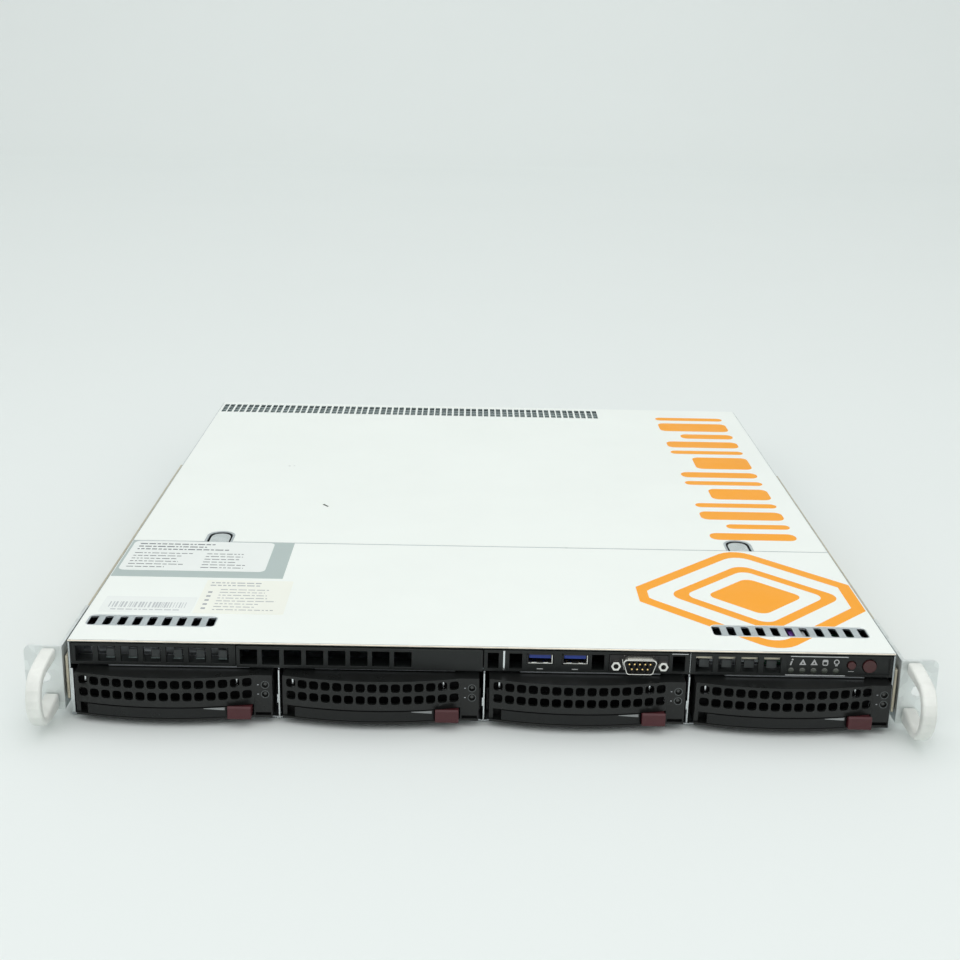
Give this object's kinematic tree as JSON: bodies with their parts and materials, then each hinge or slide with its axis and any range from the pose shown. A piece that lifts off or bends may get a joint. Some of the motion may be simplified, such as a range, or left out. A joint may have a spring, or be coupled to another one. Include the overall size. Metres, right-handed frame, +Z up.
{
  "type": "firewall appliance",
  "caption": "One-unit rack network security appliance with sliding top cover, hot-swap drive carriers, front service ports, fans and plug-in power modules.",
  "frame": {"origin": "on the underside, midway between the noses of the front handles and the ends of the rear handles, on the centre line", "axes": "+X to the right seen from the front, +Y to the rear, +Z up"},
  "size_m": [0.4826, 0.5622, 0.0432],
  "materials": {
    "zinc_steel": "zinc-plated sheet, satin",
    "white_film": "white printed film, semi-gloss",
    "black_plastic": "satin",
    "release_red": "semi-gloss",
    "button_red": "semi-gloss",
    "white_handle": "semi-gloss",
    "rail_steel": "satin",
    "connector_metal": "bright plated",
    "drive_metal": "cast, satin",
    "board_green": "circuit board, satin",
    "fin_aluminium": "satin",
    "fan_black": "satin",
    "shroud_black": "satin",
    "latch_green": "satin"
  },
  "bodies": {
    "chassis": {"chassis_tray": "zinc_steel", "front_cover": "white_film", "rack_ear_left": "zinc_steel", "rack_ear_right": "zinc_steel", "ear_handle_left": "white_handle", "ear_handle_right": "white_handle", "inner_rail_left": "rail_steel", "inner_rail_right": "rail_steel", "vent_bezel": "black_plastic", "optical_blank": "black_plastic", "io_bezel": "black_plastic", "control_bezel": "black_plastic", "usb_port_1": "connector_metal", "usb_port_2": "connector_metal", "serial_port": "connector_metal", "network_ports": "connector_metal", "control_board": "board_green", "drive_cage": "zinc_steel", "drive_backplane": "board_green", "fan_wall": "zinc_steel", "fan_frame_1": "fan_black", "fan_frame_2": "fan_black", "fan_frame_3": "fan_black", "fan_frame_4": "fan_black", "air_shroud": "shroud_black", "motherboard": "board_green", "cpu_heatsink": "fin_aluminium", "memory_module": "board_green", "io_shield": "zinc_steel", "slot_cover": "zinc_steel", "power_cage": "zinc_steel"},
    "top_cover": {"top_cover": "white_film"},
    "cover_button_left": {"cover_button_left": "zinc_steel"},
    "cover_button_right": {"cover_button_right": "zinc_steel"},
    "power_button": {"power_button": "button_red"},
    "reset_button": {"reset_button": "button_red"},
    "drive_carrier_1": {"drive_carrier_1": "black_plastic", "hard_drive_1": "drive_metal"},
    "carrier_lever_1": {"carrier_lever_1": "black_plastic"},
    "release_tab_1": {"release_tab_1": "release_red"},
    "drive_carrier_2": {"drive_carrier_2": "black_plastic", "hard_drive_2": "drive_metal"},
    "carrier_lever_2": {"carrier_lever_2": "black_plastic"},
    "release_tab_2": {"release_tab_2": "release_red"},
    "drive_carrier_3": {"drive_carrier_3": "black_plastic", "hard_drive_3": "drive_metal"},
    "carrier_lever_3": {"carrier_lever_3": "black_plastic"},
    "release_tab_3": {"release_tab_3": "release_red"},
    "drive_carrier_4": {"drive_carrier_4": "black_plastic", "hard_drive_4": "drive_metal"},
    "carrier_lever_4": {"carrier_lever_4": "black_plastic"},
    "release_tab_4": {"release_tab_4": "release_red"},
    "fan_rotor_1": {"fan_rotor_1": "fan_black"},
    "fan_rotor_2": {"fan_rotor_2": "fan_black"},
    "fan_rotor_3": {"fan_rotor_3": "fan_black"},
    "fan_rotor_4": {"fan_rotor_4": "fan_black"},
    "power_module_1": {"power_module_1": "zinc_steel"},
    "power_latch_1": {"power_latch_1": "latch_green"},
    "power_module_2": {"power_module_2": "zinc_steel"},
    "power_latch_2": {"power_latch_2": "latch_green"}
  },
  "joints": [
    {"name": "top_cover_slide", "type": "slide", "parent": "chassis", "child": "top_cover", "axis": [0, 1, 0], "range_m": [0, 0.013]},
    {"name": "cover_button_left_press", "type": "slide", "parent": "chassis", "child": "cover_button_left", "axis": [0, 0, -1], "range_m": [0, 0.0025], "stiffness_N_per_m": 800, "springref_m": -0.002},
    {"name": "cover_button_right_press", "type": "slide", "parent": "chassis", "child": "cover_button_right", "axis": [0, 0, -1], "range_m": [0, 0.0025], "stiffness_N_per_m": 800, "springref_m": -0.002},
    {"name": "power_button_press", "type": "slide", "parent": "chassis", "child": "power_button", "axis": [0, 1, 0], "range_m": [0, 0.0012], "stiffness_N_per_m": 1200, "springref_m": -0.001},
    {"name": "reset_button_press", "type": "slide", "parent": "chassis", "child": "reset_button", "axis": [0, 1, 0], "range_m": [0, 0.0012], "stiffness_N_per_m": 1200, "springref_m": -0.001},
    {"name": "drive_carrier_1_slide", "type": "slide", "parent": "chassis", "child": "drive_carrier_1", "axis": [0, -1, 0], "range_m": [0, 0.16]},
    {"name": "carrier_lever_1_hinge", "type": "hinge", "parent": "drive_carrier_1", "child": "carrier_lever_1", "pos_m": [-0.20447, -0.2497, 0.008], "axis": [0, 0, -1], "range_deg": [0, 60]},
    {"name": "release_tab_1_press", "type": "slide", "parent": "drive_carrier_1", "child": "release_tab_1", "axis": [0, 1, 0], "range_m": [0, 0.0018], "stiffness_N_per_m": 800, "springref_m": -0.001},
    {"name": "drive_carrier_2_slide", "type": "slide", "parent": "chassis", "child": "drive_carrier_2", "axis": [0, -1, 0], "range_m": [0, 0.16]},
    {"name": "carrier_lever_2_hinge", "type": "hinge", "parent": "drive_carrier_2", "child": "carrier_lever_2", "pos_m": [-0.09563, -0.2497, 0.008], "axis": [0, 0, -1], "range_deg": [0, 60]},
    {"name": "release_tab_2_press", "type": "slide", "parent": "drive_carrier_2", "child": "release_tab_2", "axis": [0, 1, 0], "range_m": [0, 0.0018], "stiffness_N_per_m": 800, "springref_m": -0.001},
    {"name": "drive_carrier_3_slide", "type": "slide", "parent": "chassis", "child": "drive_carrier_3", "axis": [0, -1, 0], "range_m": [0, 0.16]},
    {"name": "carrier_lever_3_hinge", "type": "hinge", "parent": "drive_carrier_3", "child": "carrier_lever_3", "pos_m": [0.01323, -0.2497, 0.008], "axis": [0, 0, -1], "range_deg": [0, 60]},
    {"name": "release_tab_3_press", "type": "slide", "parent": "drive_carrier_3", "child": "release_tab_3", "axis": [0, 1, 0], "range_m": [0, 0.0018], "stiffness_N_per_m": 800, "springref_m": -0.001},
    {"name": "drive_carrier_4_slide", "type": "slide", "parent": "chassis", "child": "drive_carrier_4", "axis": [0, -1, 0], "range_m": [0, 0.16]},
    {"name": "carrier_lever_4_hinge", "type": "hinge", "parent": "drive_carrier_4", "child": "carrier_lever_4", "pos_m": [0.12208, -0.2497, 0.008], "axis": [0, 0, -1], "range_deg": [0, 60]},
    {"name": "release_tab_4_press", "type": "slide", "parent": "drive_carrier_4", "child": "release_tab_4", "axis": [0, 1, 0], "range_m": [0, 0.0018], "stiffness_N_per_m": 800, "springref_m": -0.001},
    {"name": "fan_rotor_1_spin", "type": "hinge", "parent": "chassis", "child": "fan_rotor_1", "pos_m": [-0.175, -0.0379, 0.0214], "axis": [0, 1, 0], "continuous": true},
    {"name": "fan_rotor_2_spin", "type": "hinge", "parent": "chassis", "child": "fan_rotor_2", "pos_m": [-0.095, -0.0379, 0.0214], "axis": [0, 1, 0], "continuous": true},
    {"name": "fan_rotor_3_spin", "type": "hinge", "parent": "chassis", "child": "fan_rotor_3", "pos_m": [-0.015, -0.0379, 0.0214], "axis": [0, 1, 0], "continuous": true},
    {"name": "fan_rotor_4_spin", "type": "hinge", "parent": "chassis", "child": "fan_rotor_4", "pos_m": [0.065, -0.0379, 0.0214], "axis": [0, 1, 0], "continuous": true},
    {"name": "power_module_1_slide", "type": "slide", "parent": "chassis", "child": "power_module_1", "axis": [0, 1, 0], "range_m": [0, 0.21]},
    {"name": "power_latch_1_press", "type": "hinge", "parent": "power_module_1", "child": "power_latch_1", "pos_m": [0.1569, 0.2331, 0.021], "axis": [0, 0, 1], "range_deg": [0, 5], "stiffness_Nm_per_rad": 0.6, "springref_deg": -1.72},
    {"name": "power_module_2_slide", "type": "slide", "parent": "chassis", "child": "power_module_2", "axis": [0, 1, 0], "range_m": [0, 0.21]},
    {"name": "power_latch_2_press", "type": "hinge", "parent": "power_module_2", "child": "power_latch_2", "pos_m": [0.2122, 0.2331, 0.021], "axis": [0, 0, 1], "range_deg": [0, 5], "stiffness_Nm_per_rad": 0.6, "springref_deg": -1.72}
  ]
}
